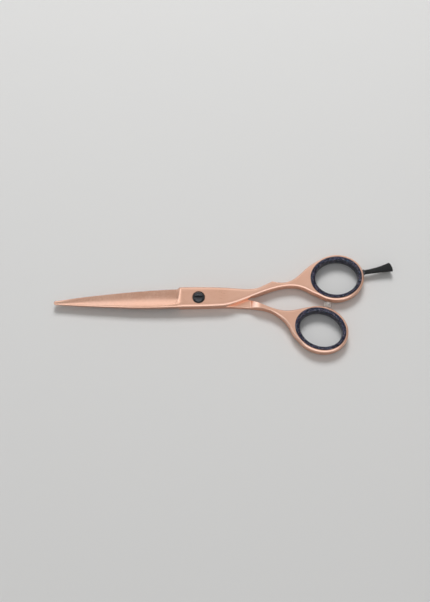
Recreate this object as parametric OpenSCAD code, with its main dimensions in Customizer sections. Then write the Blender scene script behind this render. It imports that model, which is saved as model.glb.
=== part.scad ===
// Hair cutting shears: two forged halves on a tension screw, with finger ring
// inserts, a silencing bumper and a screw-in finger rest. Millimetres.
//
// Frame: the origin is on the pivot axis, in the plane that the shears rest on.
// +X runs from the pivot to the finger rings, so the blades point to -X.
// +Z is up through the pivot screw's head. The finger half is the upper layer.
//
// Both halves are drawn in the same way, cutting edge towards +Y and riding face
// down. The thumb half is then turned over about the X axis.

/* [Layers] */
// Thickness of one half at the pivot
half_t = 3; // [2.6:0.1:3.4]
// Gap between the riding faces of the two halves
ride_gap = 0.1; // [0.05:0.01:0.2]
// How far the finger rings stand inside the outer faces, on each side
ring_inset = 0.65; // [0.5:0.05:0.9]

/* [Blades] */
// Thickness of the blade's spine at the tip
tip_t = 1.3; // [1:0.1:1.8]
// Thickness left at the cutting edge
edge_t = 0.12; // [0.08:0.02:0.3]
// Where the ground face ends in front of the pivot
plunge_x = -9.4; // [-12:0.1:-8]
// Radius of the ground face's corner, seen from above
plunge_r = 5.5; // [3:0.5:7]
// Width of the fillet along the ground face's border
plunge_fillet = 1.3; // [0.6:0.1:2]
// Depth of the ground face below the spine's flat, next to the pivot
face_recess = 0.35; // [0.1:0.05:0.6]
// Depth of the hollow in the riding face of a blade
hollow_depth = 0.12; // [0:0.02:0.2]
// Radius of the blade's tip, seen from above
tip_r = 1.2; // [0.8:0.1:1.5]

/* [Shanks] */
// Height of the rounded edges of a half at the pivot
flat_edge_r = 0.6; // [0.3:0.1:0.9]
// Width of the rounded edge at the pivot, on the cutting edge's side
wide_edge = 1.6; // [0.6:0.1:2]
// Width of the rounded edge at the pivot and along the blade, on the spine's side
narrow_edge = 0.9; // [0.5:0.1:1.2]
// Edge radius of the shanks and the rings
shank_edge_r = 1.05; // [0.6:0.05:1.1]
// Where a shank starts to step into the other half's layer
joggle_start = 25.5; // [24:0.5:26]
// Where that step is complete
joggle_end = 30; // [28:0.5:32]

/* [Rings] */
// Width of the metal round a ring's hole
ring_w = 1.8; // [1.6:0.1:2.2]
// How far an insert's flange lies over the metal
flange_w = 0.7; // [0.4:0.05:0.75]
// Thickness of an insert inside the hole, at its fullest
insert_t = 1.35; // [1:0.05:2]
// Clearance between an insert and the metal
insert_gap = 0.01; // [0.01:0.01:0.05]

/* [Pivot] */
// Radius of the screw's plain shoulder
shoulder_r = 2.3; // [2:0.05:2.5]
// Radius of the screw's threaded end
thread_r = 2; // [1.6:0.05:2.2]
// Radius of the screw's head
head_r = 2.5; // [2.4:0.05:2.7]
// Height of the screw head's dome
dome_h = 0.85; // [0.5:0.05:1.2]
// Width of the screwdriver slot
slot_w = 1.1; // [0.6:0.1:1.4]
// Depth of the screwdriver slot, from the top of the dome
slot_depth = 0.9; // [0.5:0.1:1.1]
// Outer radius of the bush in the finger half
bush_r = 2.8; // [2.6:0.05:3]
// Radius of the nut's flange
nut_flange_r = 3.4; // [3.1:0.1:3.6]
// Running clearance, on the radius
run_clear = 0.03; // [0.02:0.01:0.06]

/* [Bumper and finger rest] */
// Radius of the bumper's ball
bumper_r = 1.85; // [1.5:0.05:1.9]
// Angle of the finger rest's stud above the X axis
rest_angle = 9; // [6:1:16]
// Length of the finger rest, past its collar
rest_length = 13.2; // [10:0.2:18]

/* [Hidden] */
$fn = 48;

rose_gold = [0.80, 0.58, 0.48];
steel = [0.72, 0.72, 0.74];
black_steel = [0.07, 0.07, 0.08];
glitter_navy = [0.08, 0.08, 0.16];

turn_steps = 3;                   // stations in each span between two knots
ring_steps = 18;                  // stations from a ring's join to its far end
hole_sides = 60;                  // facets round an oval
total_t = 2 * half_t + ride_gap;
ride_z = half_t + ride_gap;       // riding face of a half, as drawn
ring_hi = total_t - ring_inset;
ring_lo = ring_inset;
mid_z = total_t / 2;
tip_length = 61.6;                // from the plunge line to the blade's tip
round_steps = [0, 0.134, 0.5, 1]; // steps into a rounded edge, as shares of its radius
middle_steps = [0.25, 0.5, 0.75]; // places between the two rounded edges
last_step = len(round_steps) - 1;
columns = 2 * len(round_steps) + len(middle_steps);

// Ovals of the ring outlines, as drawn: centre, half lengths and turn
finger_ring = [68, 10.8, 13.6, 12, 9];
thumb_ring = [59.4, 16, 13.5, 11.7, 22];
// Angles on the ovals at which the shank's two edges run into the ring
finger_join = [118, -136];
thumb_join = [126, -128];

// Tip centres, as drawn
finger_tip = [-69.85, -2];
thumb_tip = [-69.85, 1.75];

// Outlines as drawn, from the tip to the ring: the cutting edge's side, then the spine's
finger_upper = [[-58, 1], [-44, 2.7], [-30, 4.1], [-18, 5], [-11, 5.3], [-9.4, 5.35],
                [0, 5.45], [8, 5.35], [14, 5.1], [19, 4.75], [24, 4.55], [28.5, 5.1],
                [32.5, 6.9], [36.2, 8.8], [39.5, 8.3], [43, 8.4], [46.5, 9.8],
                [50, 12.6], [54, 16.4]];
finger_lower = [[-58, -3.9], [-44, -4.6], [-30, -5.1], [-18, -5.05], [-11, -4.85], [-9.4, -4.8],
                [0, -4.6], [8, -4.35], [13.5, -3.9], [18, -2.6], [23, -0.6], [28.5, 1.7],
                [32.5, 3.3], [36.2, 4.6], [40, 5.6], [44.5, 6.2], [48.5, 6],
                [52, 4.9], [55.5, 3]];
finger_peak = 13;                 // the knot where the shank's shoulder comes to a point
no_corner = -9;
web_x = 50;                       // beyond this the shanks widen into their rings
thumb_upper = [[-58, 3.5], [-44, 4.2], [-30, 4.7], [-18, 4.65], [-11, 4.45], [-9.4, 4.4],
               [0, 4.2], [8, 4], [14, 3.9], [19, 4.05], [24, 4.35], [28, 4.8],
               [32, 5.5], [35.5, 6.8], [38.8, 8.9], [41.8, 11.6], [44, 14.8], [45.6, 18.2]];
thumb_lower = [[-58, -0.9], [-44, -2.6], [-30, -4], [-18, -4.9], [-11, -5.2], [-9.4, -5.25],
               [0, -5.3], [8, -5], [13.5, -4], [18.5, -2.3], [23, -0.4], [28, 1.7],
               [32, 3.6], [36, 5.1], [40, 6.1], [44, 6.4], [48, 5.8], [51.5, 5]];

// Levels of the pivot stack, from the resting plane up
nut_floor = 0.25;
nut_flange_t = 0.8;
nut_top = 2.2;
screw_end = 0.5;
shoulder_z = 2.4;
ride_washer_r = 3.6;
ride_washer_z = 2.75;
bush_top = total_t - 1;
wave_t = 0.12;
wave_h = 0.25;
washer_r = 2.95;
washer_z = bush_top + wave_h;
washer_t = 0.4;
head_z = washer_z + washer_t;
head_side = 0.45;
counterbore_r = washer_r + 0.1;

// Bumper and finger rest
bumper_at = [63.2, -3.1, mid_z];
bumper_stem_r = 0.8;
bumper_stem = 3.3;
rest_at = [81.2, 14.1, mid_z];
stud_r = 1;
collar_r = 1.45;
collar_t = 1.3;
seat_depth = 0.3;
core_r = 0.7;
core_length = 6;

function mix(a, b, t) = a + (b - a) * t;
function clamp01(t) = min(1, max(0, t));
function ease(a, b, x) = let (t = clamp01((x - a) / (b - a))) t * t * (3 - 2 * t);
function unit(v) = v / norm(v);

// How far a rounded edge has dropped, as a share of its radius, at a share of the way in
function drop(s) = s >= 1 ? 0 : 1 - sqrt(1 - (1 - s) * (1 - s));

// A point on an oval, a distance out from its outline
function oval(o, angle, out = 0) =
  let (p = [o[2] * cos(angle), o[3] * sin(angle)],
       n = unit([o[3] * cos(angle), o[2] * sin(angle)]),
       q = p + out * n)
  [o[0] + q[0] * cos(o[4]) - q[1] * sin(o[4]), o[1] + q[0] * sin(o[4]) + q[1] * cos(o[4])];

// A smooth curve through knots, spaced by chord length, with one optional corner
function chord(p, i) = norm(p[i + 1] - p[i]);
function slope(p, i) = (p[i + 1] - p[i]) / chord(p, i);
function knot_slope(p, i, corner, side) =
  i == 0 ? slope(p, 0)
  : i == len(p) - 1 ? slope(p, i - 1)
  : i == corner ? slope(p, i - 1 + side)
  : (slope(p, i) * chord(p, i - 1) + slope(p, i - 1) * chord(p, i)) / (chord(p, i - 1) + chord(p, i));
function curve(p, i, t, corner) =
  let (h = chord(p, i), m0 = knot_slope(p, i, corner, 1) * h, m1 = knot_slope(p, i + 1, corner, 0) * h)
  (2 * t * t * t - 3 * t * t + 1) * p[i] + (t * t * t - 2 * t * t + t) * m0
  + (3 * t * t - 2 * t * t * t) * p[i + 1] + (t * t * t - t * t) * m1;

// One side of a half's outline: round the tip, through the knots, then round the ring
function tip_arc(centre, side) = [for (a = [0, 40, 70]) centre + tip_r * [-cos(a), side * sin(a)]];
function tip_end(centre, side) = centre + tip_r * [-cos(98), side * sin(98)];
function outline(knots, corner, centre, side, ring, join) =
  let (p = concat([tip_end(centre, side)], knots, [oval(ring, join), oval(ring, join * 0.9)]))
  concat(tip_arc(centre, side),
         [for (i = [0 : len(p) - 3]) for (k = [0 : turn_steps - 1]) curve(p, i, k / turn_steps, corner + 1)],
         [for (k = [0 : ring_steps]) oval(ring, join * (1 - k / ring_steps))]);

// Inward normal at each point of one side
function inward(line, i, side) =
  let (before = i == 0 ? [0, side] : unit(line[i] - line[i - 1]),
       after = i == len(line) - 1 ? [0, -side] : unit(line[i + 1] - line[i]),
       t = unit(before + after))
  side * [t[1], -t[0]];

// Surface heights of a half, as drawn
function nose(x) = mix(0.45, 1, ease(-71.1, -69, x));
function spine_t(x) = mix(tip_t, half_t, clamp01(1 + (x - plunge_x) / tip_length)) * nose(x);
function outer_level(x) = mix(ride_z + spine_t(x), ring_hi, ease(16, 42, x));
function inner_level(x) = mix(ride_z, ring_lo, ease(joggle_start, joggle_end, x));
function edge_r(x) = mix(flat_edge_r, shank_edge_r, ease(20, 36, x));
function edge_w(x, side) = mix(side > 0 ? wide_edge : narrow_edge, shank_edge_r, ease(14, 30, x));
function inner_edge_r(x) = mix(0.1, shank_edge_r, ease(joggle_start, 34, x));

// The ground face of a blade: how much of its full depth is cut at a place
function spine_strip(x) = 0.9 * ease(-40, -14, x);
function border(a, b) = a < plunge_r && b < plunge_r
  ? plunge_r - norm([plunge_r - a, plunge_r - b]) : min(a, b);
function ground_share(x, to_spine) =
  let (q = border(plunge_x - x, to_spine - spine_strip(x)) / plunge_fillet)
  q <= 0 ? 0 : q >= 1 ? 1 : sqrt(1 - (1 - q) * (1 - q));

// A place in a section: its point, share of the width from the edge, steps into the two
// rounded edges, and distance from the spine's outline
function outer_z(p) =
  let (x = p[0][0], r = edge_r(x),
       flat = outer_level(x) - r * (drop(p[2]) + drop(p[3])),
       crown = spine_t(x) - face_recess * ease(-45, plunge_x, x),
       face = ride_z + mix(edge_t, crown, 1 - pow(1 - p[1], 1.7)) - r * drop(p[3]))
  mix(flat, max(face, ride_z + edge_t), ground_share(x, p[4]));
function inner_z(p) =
  let (x = p[0][0],
       hollow = hollow_depth * sin(180 * clamp01((p[1] - 0.12) / 0.8)) * ease(plunge_x, plunge_x - 4, x))
  inner_level(x) + hollow + inner_edge_r(x) * (drop(p[2]) + drop(p[3]));

// Places across a section: down one rounded edge, over the middle, down the other
function place(p, v, edge, spine, w) =
  let (share = w < 0.01 ? 0.5 : clamp01(v)) [p, share, edge, spine, (1 - share) * w];
function section(u, l, nu, nl) =
  let (w = norm(u - l),
       room = u[0] < 0 ? 0.4 * w + max(0, 1 - w) : u[0] < web_x ? 0.48 * w : shank_edge_r,
       ru = min(edge_w(u[0], 1), room), rl = min(edge_w(l[0], -1), room),
       pu = u + nu * ru, pl = l + nl * rl)
  concat([for (s = round_steps) place(u + nu * ru * s, s * ru / w, s, 1, w)],
         [for (m = middle_steps) place(mix(pu, pl, m), mix(ru / w, 1 - rl / w, m), 1, 1, w)],
         [for (k = [last_step : -1 : 0]) let (s = round_steps[k])
            place(l + nl * rl * s, 1 - s * rl / w, 1, s, w)]);

// A triangle or two for each cell between two stations; where an end closes to a point,
// its second side shares the first side's corners
function shared(j) = j <= last_step ? j : columns - 1 - j <= last_step ? columns - 1 - j : last_step;
function corner_at(i, j, last) = i * columns + ((i == 0 || i == last) ? shared(j) : j);
function two(a, b, c, d) = concat(a == b || b == c || a == c ? [] : [[a, b, c]],
                                  a == c || c == d || a == d ? [] : [[a, c, d]]);

// The solid between a half's outer and inner faces
module half_blank(upper, lower, corner, centre, ring, join) {
  u = outline(upper, corner, centre, 1, ring, join[0]);
  l = outline(lower, no_corner, centre, -1, ring, join[1]);
  last = len(u) - 1;
  places = [for (i = [0 : last]) each section(u[i], l[i], inward(u, i, 1), inward(l, i, -1))];
  n = len(places);
  top = [for (p = places) [p[0][0], p[0][1], outer_z(p)]];
  bottom = [for (p = places) [p[0][0], p[0][1], inner_z(p)]];
  cells = [for (i = [0 : last - 1]) for (j = [0 : columns - 2])
             [corner_at(i, j, last), corner_at(i + 1, j, last),
              corner_at(i + 1, j + 1, last), corner_at(i, j + 1, last)]];
  sides = [for (i = [0 : last - 1]) for (j = [0, columns - 1])
             let (a = corner_at(i, j, last), b = corner_at(i + 1, j, last))
             j == 0 ? [a, a + n, b + n, b] : [a, b, b + n, a + n]];
  faces = concat([for (c = cells) each two(c[0], c[1], c[2], c[3])],
                 [for (c = cells) each two(c[3] + n, c[2] + n, c[1] + n, c[0] + n)],
                 [for (s = sides) each two(s[0], s[1], s[2], s[3])]);
  polyhedron(points = concat(top, bottom), faces = faces, convexity = 8);
}

// The hole in a ring, and everything cut round the pivot
module ring_hole(ring)
  linear_extrude(height = total_t + 2)
    polygon([for (k = [0 : hole_sides - 1]) oval(ring, 360 * k / hole_sides, -ring_w)]);

module finger_half()
  color(rose_gold) difference() {
    half_blank(finger_upper, finger_lower, finger_peak, finger_tip, finger_ring, finger_join);
    translate([0, 0, -1]) ring_hole(finger_ring);
    translate([0, 0, half_t]) cylinder(r = bush_r, h = half_t + 1);
    translate([0, 0, bush_top]) cylinder(r = counterbore_r, h = half_t);
    along_rest() {
      translate([0, 0, -ring_w - 0.3]) cylinder(r = stud_r + run_clear, h = 2 * ring_w);
      translate([0, 0, -seat_depth]) cylinder(r = collar_r + 0.1, h = 3);
    }
  }

module thumb_half()
  color(rose_gold) difference() {
    translate([0, 0, total_t]) rotate([180, 0, 0])
      half_blank(thumb_upper, thumb_lower, no_corner, thumb_tip, thumb_ring, thumb_join);
    translate([0, 0, total_t + 1]) rotate([180, 0, 0]) ring_hole(thumb_ring);
    translate([0, 0, -1]) cylinder(r = nut_flange_r, h = 1 + nut_flange_t);
    cylinder(r = bush_r, h = nut_top);
    cylinder(r = shoulder_r + 0.1, h = half_t + 1);
    translate([0, 0, ride_washer_z]) cylinder(r = ride_washer_r + 0.05, h = 1);
    translate(bumper_at) rotate([90, 0, 0]) cylinder(r = bumper_stem_r, h = bumper_stem);
  }

// A blind nut, closed on the side that the shears rest on
module pivot_nut()
  color(rose_gold) difference() {
    union() {
      cylinder(r = nut_flange_r, h = nut_flange_t);
      cylinder(r = bush_r, h = nut_top);
    }
    translate([0, 0, nut_floor]) cylinder(r = thread_r + run_clear, h = nut_top);
  }

module washer(outer, inner, z, t)
  translate([0, 0, z]) difference() {
    cylinder(r = outer, h = t);
    translate([0, 0, -1]) cylinder(r = inner, h = t + 2);
  }

module ride_washer()
  color("ivory") washer(ride_washer_r, shoulder_r + 0.1, ride_washer_z, ride_z - ride_washer_z);

module pivot_bush()
  color("goldenrod") washer(bush_r, shoulder_r + run_clear, ride_z, bush_top - ride_z);

module head_washer()
  color(black_steel) washer(washer_r, shoulder_r + 0.05, washer_z, washer_t);

// A spring washer with three waves
module wave_washer() {
  waves = 36;
  rim = [for (k = [0 : waves - 1]) for (r = [washer_r - 0.05, shoulder_r + 0.1])
           let (a = 360 * k / waves)
           [r * cos(a), r * sin(a), bush_top + (wave_h - wave_t) * (0.5 + 0.49 * cos(3 * a))]];
  n = len(rim);
  color(steel) polyhedron(
    points = concat(rim, [for (p = rim) p + [0, 0, wave_t]]),
    faces = [for (k = [0 : waves - 1]) let (a = 2 * k, b = 2 * ((k + 1) % waves))
               each concat(two(a, b, b + 1, a + 1), two(a + n, a + 1 + n, b + 1 + n, b + n),
                           two(a, a + n, b + n, b), two(a + 1, b + 1, b + 1 + n, a + 1 + n))]);
}

module pivot_screw()
  color(black_steel) difference() {
    rotate_extrude() polygon(concat(
      [[0, screw_end], [thread_r - 0.3, screw_end], [thread_r, screw_end + 0.3],
       [thread_r, shoulder_z], [shoulder_r, shoulder_z], [shoulder_r, head_z],
       [head_r, head_z], [head_r, head_z + head_side]],
      [for (a = [10 : 10 : 90]) [head_r * cos(a), head_z + head_side + dome_h * sin(a)]]));
    translate([-head_r - 1, -slot_w / 2, head_z + head_side + dome_h - slot_depth])
      cube([2 * head_r + 2, slot_w, slot_depth + 1]);
  }

// A ring insert: a flanged sleeve whose inside swells towards the finger
module ring_insert(ring) {
  flange_z = ring_hi + insert_gap;
  profile = [[-insert_gap, mid_z], [-insert_gap, flange_z], [flange_w, flange_z],
             [flange_w, total_t - 0.35], [flange_w - 0.3, total_t], [-0.4, total_t],
             [-0.7 * insert_t, total_t - 0.35], [-0.9 * insert_t, total_t - 1.3], [-insert_t, mid_z]];
  half = len(profile) - 1;
  loop = concat(profile, [for (k = [half - 1 : -1 : 1]) [profile[k][0], total_t - profile[k][1]]]);
  m = len(loop);
  points = [for (k = [0 : hole_sides - 1]) for (q = loop)
              let (p = oval(ring, 360 * k / hole_sides, q[0] - ring_w)) [p[0], p[1], q[1]]];
  faces = [for (k = [0 : hole_sides - 1]) for (j = [0 : m - 1])
             let (a = k * m + j, b = k * m + (j + 1) % m,
                  c = ((k + 1) % hole_sides) * m + (j + 1) % m, d = ((k + 1) % hole_sides) * m + j)
             each two(a, b, c, d)];
  polyhedron(points = points, faces = faces, convexity = 6);
}

module finger_ring_insert() color(glitter_navy) ring_insert(finger_ring);

module thumb_ring_insert()
  color(glitter_navy) translate([0, 0, total_t]) rotate([180, 0, 0]) ring_insert(thumb_ring);

module bumper()
  color([0.9, 0.88, 0.86]) union() {
    translate(bumper_at) sphere(r = bumper_r);
    translate(bumper_at) rotate([90, 0, 0]) cylinder(r = bumper_stem_r, h = bumper_stem);
  }

// Along the finger rest's stud, from the ring's outline outwards
module along_rest() translate(rest_at) rotate([0, 0, rest_angle]) rotate([0, 90, 0]) children();

module finger_rest_stud()
  color(black_steel) along_rest() {
    translate([0, 0, 0.3 - ring_w]) cylinder(r = stud_r, h = ring_w - 0.3);
    translate([0, 0, -seat_depth]) cylinder(r = collar_r, h = collar_t);
    cylinder(r = core_r, h = core_length);
  }

// The horn of the finger rest, an oval that grows along a slightly bent line
module finger_rest() {
  rings = 14;
  sides = 24;
  start = collar_t - seat_depth;
  points = [for (i = [0 : rings]) for (k = [0 : sides - 1])
              let (s = i / rings, a = 360 * k / sides, flare = s * s,
                   ry = mix(1.15, 2.3, flare), rz = mix(1.15, 2.35, flare))
              [rz * cos(a), ry * sin(a) + 0.7 * flare, start + rest_length * s - 0.3 * flare * ry * sin(a)]];
  faces = concat([for (i = [0 : rings - 1]) for (k = [0 : sides - 1])
                    let (a = i * sides + k, b = i * sides + (k + 1) % sides)
                    each two(a, a + sides, b + sides, b)],
                 [[for (k = [0 : sides - 1]) k]],
                 [[for (k = [0 : sides - 1]) (rings + 1) * sides - 1 - k]]);
  color([0.2, 0.2, 0.2]) along_rest() difference() {
    polyhedron(points = points, faces = faces);
    translate([0, 0, -1]) cylinder(r = core_r, h = core_length + 1);
  }
}

thumb_half();
pivot_nut();
ride_washer();
thumb_ring_insert();
bumper();
finger_half();
pivot_bush();
wave_washer();
head_washer();
finger_ring_insert();
pivot_screw();
finger_rest_stud();
finger_rest();
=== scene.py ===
"""Hair cutting shears: the looks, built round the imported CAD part.

Sizes are in millimetres until a mesh is made. Both halves are drawn as in the CAD part: cutting
edge towards +Y and riding face down, and the thumb half is then turned over about the X axis.
"""

import math
import random

import bmesh
import bpy
import numpy as np
from mathutils import Matrix, Vector


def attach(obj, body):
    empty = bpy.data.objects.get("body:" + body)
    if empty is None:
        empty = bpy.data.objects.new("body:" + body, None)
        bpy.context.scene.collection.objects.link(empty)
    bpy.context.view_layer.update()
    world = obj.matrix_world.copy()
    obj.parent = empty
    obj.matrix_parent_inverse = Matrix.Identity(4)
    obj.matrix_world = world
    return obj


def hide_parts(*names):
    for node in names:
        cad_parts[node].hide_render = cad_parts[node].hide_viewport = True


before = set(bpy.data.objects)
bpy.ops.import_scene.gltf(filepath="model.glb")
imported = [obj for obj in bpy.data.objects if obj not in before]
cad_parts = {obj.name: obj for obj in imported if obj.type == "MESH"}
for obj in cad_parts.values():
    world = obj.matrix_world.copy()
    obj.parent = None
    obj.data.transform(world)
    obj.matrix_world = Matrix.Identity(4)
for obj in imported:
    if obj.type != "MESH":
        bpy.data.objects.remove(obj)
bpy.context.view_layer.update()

MM = 0.001

# ---------------------------------------------------------------- sizes, as in the CAD part

HALF_T = 3
RIDE_GAP = 0.1
TOTAL_T = 2 * HALF_T + RIDE_GAP
RIDE_Z = HALF_T + RIDE_GAP
MID_Z = TOTAL_T / 2
RING_INSET = 0.65
RING_HI = TOTAL_T - RING_INSET
RING_LO = RING_INSET

TIP_T = 1.3
PLUNGE_X = -9.4
FACE_POWER = 1.7
RECESS_X = -45    # where the ground face's recess at the plunge begins
HOLLOW_DEPTH = 0.12
TIP_X = -71.05
TIP_R = 1.2
TIP_LENGTH = 61.6

EDGE_W = 1.6
SHANK_EDGE_R = 1.05
JOGGLE_START = 25.5
WEB_X = 50

RING_W = 1.8
FLANGE_W = 0.7
INSERT_T = 1.35

SHOULDER_R = 2.3
THREAD_R = 2
HEAD_R = 2.5
DOME_H = 0.85
SLOT_W = 1.1
SLOT_DEPTH = 0.9
BUSH_R = 2.8
NUT_FLANGE_R = 3.4
RUN_CLEAR = 0.03
NUT_FLOOR = 0.25
NUT_FLANGE_T = 0.8
NUT_TOP = 2.2
SCREW_END = 0.5
SHOULDER_Z = 2.4
RIDE_WASHER_R = 3.6
RIDE_WASHER_Z = 2.75
BUSH_TOP = TOTAL_T - 1
WAVE_T = 0.12
WAVE_H = 0.25
WASHER_R = 2.95
WASHER_Z = BUSH_TOP + WAVE_H
WASHER_T = 0.4
HEAD_Z = WASHER_Z + WASHER_T
HEAD_SIDE = 0.45
HEAD_TOP = HEAD_Z + HEAD_SIDE + DOME_H
COUNTERBORE_R = WASHER_R + 0.1

BUMPER_R = 1.85
BUMPER_AT = (63.2, -3.1, MID_Z)
BUMPER_STEM_R = 0.8
BUMPER_STEM = 3.3
REST_AT = (81.2, 14.1, MID_Z)
REST_ANGLE = 9
REST_LENGTH = 13.2
STUD_R = 1
COLLAR_R = 1.45
COLLAR_T = 1.3
SEAT_DEPTH = 0.3
CORE_R = 0.7
CORE_LENGTH = 6

# Outlines as drawn. A ring: centre, half lengths and turn in degrees. Its join: degrees round the
# oval at which the edge's side and the spine's side meet it. The peak: the knot with a corner.
FINGER = {
    "ring": (68, 10.8, 13.6, 12, 9),
    "join": (118, -136),
    "tip": (TIP_X + TIP_R, -2),
    "edge_side": [
        (-58, 1), (-44, 2.7), (-30, 4.1), (-18, 5), (-11, 5.3), (-9.4, 5.35),
        (0, 5.45), (8, 5.35), (14, 5.1), (19, 4.75), (24, 4.55), (28.5, 5.1),
        (32.5, 6.9), (36.2, 8.8), (39.5, 8.3), (43, 8.4), (46.5, 9.8), (50, 12.6), (54, 16.4),
    ],
    "spine_side": [
        (-58, -3.9), (-44, -4.6), (-30, -5.1), (-18, -5.05), (-11, -4.85), (-9.4, -4.8),
        (0, -4.6), (8, -4.35), (13.5, -3.9), (18, -2.6), (24, -0.2), (28.5, 1.7),
        (32.5, 3.3), (36.2, 4.6), (40, 5.6), (44.5, 6.2), (48.5, 6), (52, 4.9), (55.5, 3),
    ],
    "peak": 13,
}
THUMB = {
    "ring": (59.4, 16, 13.5, 11.7, 22),
    "join": (126, -128),
    "tip": (TIP_X + TIP_R, 1.75),
    "edge_side": [
        (-58, 3.5), (-44, 4.2), (-30, 4.7), (-18, 4.65), (-11, 4.45), (-9.4, 4.4),
        (0, 4.2), (8, 4), (14, 3.9), (19, 4.05), (24, 4.35), (28, 4.8),
        (32, 5.5), (35.5, 6.8), (38.8, 8.9), (41.8, 11.6), (44, 14.8), (45.6, 18.2),
    ],
    "spine_side": [
        (-58, -0.9), (-44, -2.6), (-30, -4), (-18, -4.9), (-11, -5.2), (-9.4, -5.25),
        (0, -5.3), (8, -5), (13.5, -4), (18.5, -2.3), (24, 0), (28, 1.7),
        (32, 3.6), (36, 5.1), (40, 6.1), (44, 6.4), (48, 5.8), (51.5, 5),
    ],
    "peak": None,
}

# ---------------------------------------------------------------- finish, finer than the CAD solids have

EDGE_FACE_T = 0.26     # thickness of the ground face at the cutting edge, before honing
HONED_T = 0.03         # thickness left at the honed edge
HONE_STEP = 0.2        # width of the honed bevel, as a share of the edge columns' width
RIDE_LINE = 0.12       # width of the flat ride line, as a share of the blade's width
HOLLOW_SHARE = 0.8     # width of the hollow beside it, as a share of the blade's width
BARE_X = PLUNGE_X - 0.3  # where the honed edge and the inner face's bare steel start

FACE_RECESS = 0.12     # how far the ground face lies below a straight one at the plunge
PLUNGE_R = 2.6         # round corner of the ground face between the plunge and the spine
PLUNGE_FILLET = 1.6    # how far the foot of the plunge reaches into the ground face
PLUNGE_CREST = 0.35    # how far its round crest reaches back from the ground face
PLUNGE_ROLL = 0.12     # how far the flat face rolls off towards the plunge
RUN_OUT = (-24, -12)   # where the ground face's border runs out over the spine
RUN_OUT_AT = (2, -0.7)  # how far outside the spine the border lies at either end of that
NOSE_LENGTH = 0.9      # length in which a blade rises from its tip to its thickness

FLAT_EDGE_R = 0.45     # drop of the tight corner along the edges of the flat faces
CORNER_SHARE = 0.35    # width of that corner, as a share of the edge columns' width
EDGE_ROLL = 0.18       # drop of the shallow roll inside the corner, on the cutting edge's side
SPINE_ROLL = 0.34      # the same on the spine's side
SPINE_W = 1.7          # width of the spine's edge columns
INNER_EDGE_R = 0.12    # drop of the inner face's edges
INNER_CORNER = 0.11    # their width, as a share of the edge columns' width
EDGE_LIMIT = 0.48      # the most that one side's edge columns take of a half's width

SHANK_BLEND = (24, 38)  # where the edges turn into the full rounds of the shank
LEVEL_BLEND = (16, 42)  # where the outer face goes from the blade's level to the ring's
WEB_BLEND = (33, 37)    # where the columns turn from straight across to the outline's normals
JOGGLE_END = 31         # where the step of the shank's inner face ends
FULL_ROUND_X = 42       # where the inner face's edges have become full rounds

# ---------------------------------------------------------------- plain mathematics


def mix(a, b, t):
    return a + (b - a) * t


def clamp01(t):
    return np.clip(t, 0, 1)


def ease(a, b, x):
    t = clamp01((x - a) / (b - a))
    return t * t * (3 - 2 * t)


def unit(v):
    v = np.asarray(v, float)
    return v / np.maximum(np.linalg.norm(v, axis=-1, keepdims=True), 1e-12)


def oval(ring, degrees, out=0.0):
    """Points on a ring's oval, a distance out from its outline."""
    cx, cy, a, b, turn = ring
    t, s = np.radians(degrees), np.radians(turn)
    p = np.stack([a * np.cos(t), b * np.sin(t)], -1)
    n = unit(np.stack([b * np.cos(t), a * np.sin(t)], -1))
    q = p + np.asarray(out)[..., None] * n
    return np.stack([cx + q[..., 0] * np.cos(s) - q[..., 1] * np.sin(s),
                     cy + q[..., 0] * np.sin(s) + q[..., 1] * np.cos(s)], -1)


def rounded(points, radius, steps=4):
    """A closed outline with its corners rounded to a radius, or as much as their sides allow."""
    out = []
    n = len(points)
    for i in range(n):
        p = np.array(points[i], float)
        before, after = np.array(points[i - 1], float) - p, np.array(points[(i + 1) % n], float) - p
        lb, la = np.linalg.norm(before), np.linalg.norm(after)
        ub, ua = before / lb, after / la
        half = math.acos(np.clip(ub @ ua, -1, 1)) / 2
        if half > math.radians(86):
            out.append(tuple(p))
            continue
        reach = min(radius / math.tan(half), 0.45 * lb, 0.45 * la)
        a, b = p + ub * reach, p + ua * reach
        for k in range(steps + 1):
            t = k / steps
            out.append(tuple((1 - t) ** 2 * a + 2 * t * (1 - t) * p + t * t * b))
    return out


# ---------------------------------------------------------------- the outline of a half


def knot_slopes(p, corner):
    """Direction of the curve at each knot, before and after it."""
    step = np.diff(p, axis=0)
    chord = np.linalg.norm(step, axis=1)
    slope = step / chord[:, None]
    smooth = np.vstack([
        slope[:1],
        (slope[1:] * chord[:-1, None] + slope[:-1] * chord[1:, None]) / (chord[:-1] + chord[1:])[:, None],
        slope[-1:],
    ])
    before, after = smooth.copy(), smooth.copy()
    if corner is not None:
        before[corner], after[corner] = slope[corner - 1], slope[corner]
    return before, after, chord


def station_counts(knots):
    """How many stations each span between knots gets: closer where the shape changes quickly."""
    counts = []
    for a, b in zip(knots[:-1], knots[1:]):
        x = (a[0] + b[0]) / 2
        at_plunge = PLUNGE_X - 2.5 < x < PLUNGE_X + 0.9
        at_joggle = JOGGLE_START - 1.5 < x < JOGGLE_END + 1
        spacing = 0.1 if at_plunge else 0.22 if at_joggle else 0.55
        counts.append(max(2, math.ceil(math.dist(a, b) / spacing)))
    return counts


TIP_STEPS = 16
TIP_TURN = 98    # degrees of the tip's arc on each side
RING_STEPS = 80


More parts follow.
